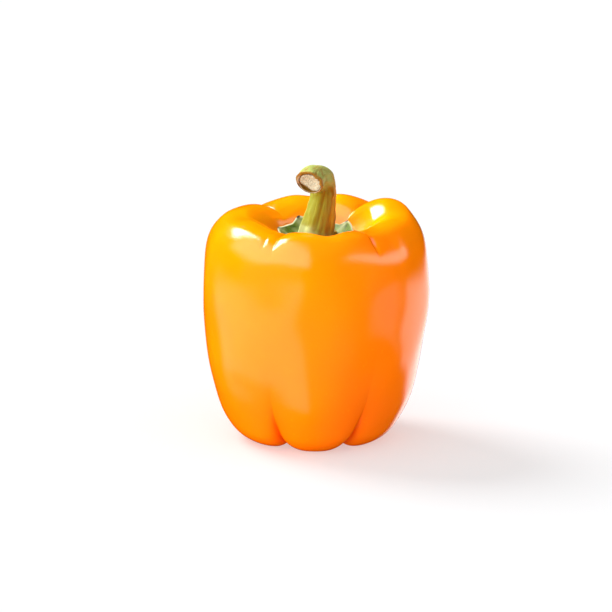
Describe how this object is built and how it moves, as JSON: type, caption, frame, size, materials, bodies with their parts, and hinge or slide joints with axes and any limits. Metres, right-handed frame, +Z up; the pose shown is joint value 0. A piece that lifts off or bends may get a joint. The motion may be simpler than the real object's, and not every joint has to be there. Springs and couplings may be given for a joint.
{
  "type": "bell pepper",
  "caption": "Whole orange sweet pepper standing upright: blocky lobed fruit with creased shoulders, green calyx sunk in the crown and a hooked, ribbed stem with a cut end.",
  "frame": {"origin": "on the ground under the middle of the fruit's outline", "axes": "+Z up along the fruit, -Y towards the front lobe and the stem's cut end, +X to the right seen from the front"},
  "size_m": [0.0873, 0.087, 0.1084],
  "materials": {
    "fruit_skin": "waxy, glossy orange pepper skin, yellower on the shoulders and redder in the creases",
    "calyx_green": "satin green calyx with pale edges and small dry brown tips",
    "stem_bark": "satin ribbed yellow-green stem with brown streaks",
    "stem_pith": "dry, matt, fibrous cream pith"
  },
  "bodies": {
    "root": {"fruit": "fruit_skin", "calyx": "calyx_green", "stem": "stem_bark", "stem_pith": "stem_pith"}
  },
  "joints": []
}
